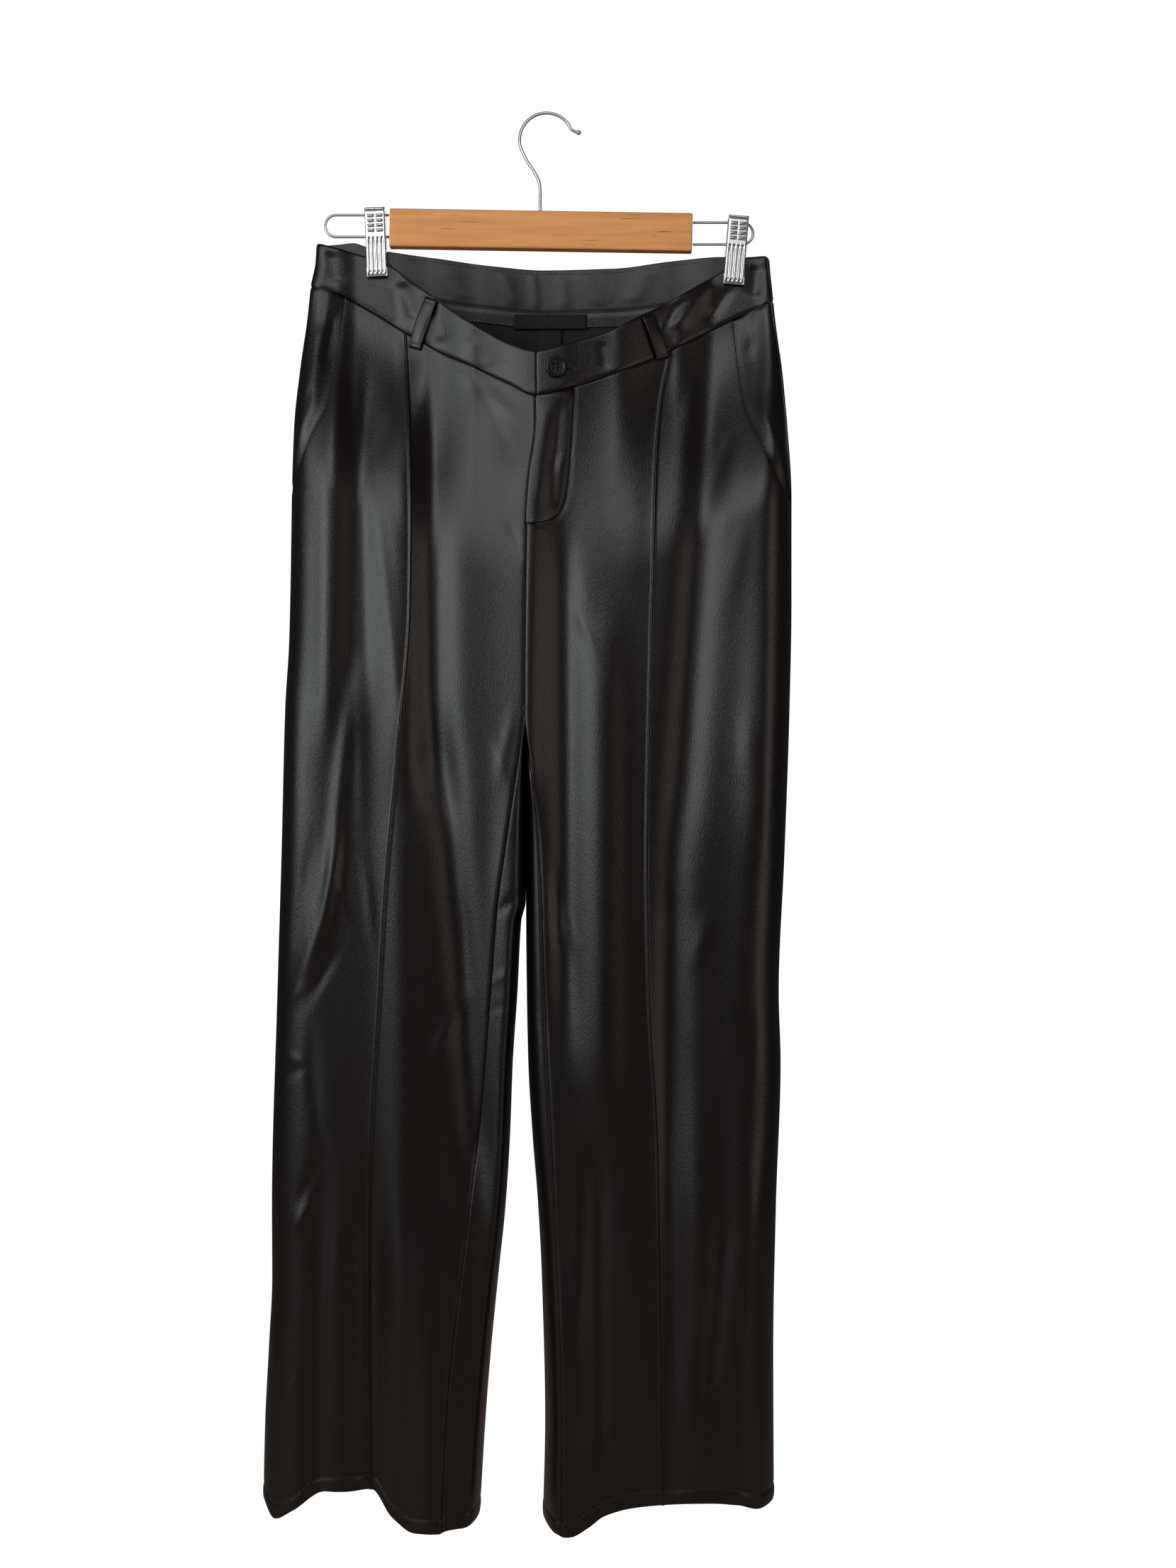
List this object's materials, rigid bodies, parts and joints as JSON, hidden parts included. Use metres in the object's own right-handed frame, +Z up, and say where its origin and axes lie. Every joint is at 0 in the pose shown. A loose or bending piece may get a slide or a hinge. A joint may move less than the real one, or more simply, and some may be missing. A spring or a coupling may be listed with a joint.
{
  "type": "faux leather trousers on a clip hanger",
  "caption": "Straight-leg faux leather trousers with a curved waistband, fly and pin-tucked fronts, hung by the waist from a wooden clip hanger.",
  "frame": {"origin": "highest point inside the hanger's hook, where it rests on a rail or peg", "axes": "+Z up, +X to the viewer's right when facing the trousers' front, +Y towards the wall behind them"},
  "size_m": [0.4269, 0.0758, 1.1444],
  "materials": {
    "leather": "black polyurethane leather, satin, with a fine grain",
    "facing": "black polyurethane leather on the inside of the waistband, satin",
    "label": "blank black woven tape",
    "button": "black moulded plastic with a raised rim",
    "wood": "clear-lacquered light cherry",
    "nickel": "bright nickel-plated pressed steel",
    "zinc": "zinc-plated round wire"
  },
  "bodies": {
    "root": {"front_left": "leather", "front_right": "leather", "back_left": "leather", "back_right": "leather", "pocket_side_left": "leather", "pocket_side_right": "leather", "waistband_front_left": "leather", "waistband_front_right": "leather", "waistband_back": "leather", "fly_flap": "leather", "belt_loop_front_left": "leather", "belt_loop_front_right": "leather", "belt_loop_back": "leather", "waistband_back_facing": "facing", "label": "label", "size_tab": "label", "button": "button", "hanger_bar": "wood", "hanger_hook": "zinc", "hanger_rail_left": "zinc", "hanger_rail_right": "zinc", "clip_front_left": "nickel", "clip_back_left": "nickel", "clip_pivot_left": "nickel", "clip_front_right": "nickel", "clip_back_right": "nickel", "clip_pivot_right": "nickel"}
  },
  "joints": []
}
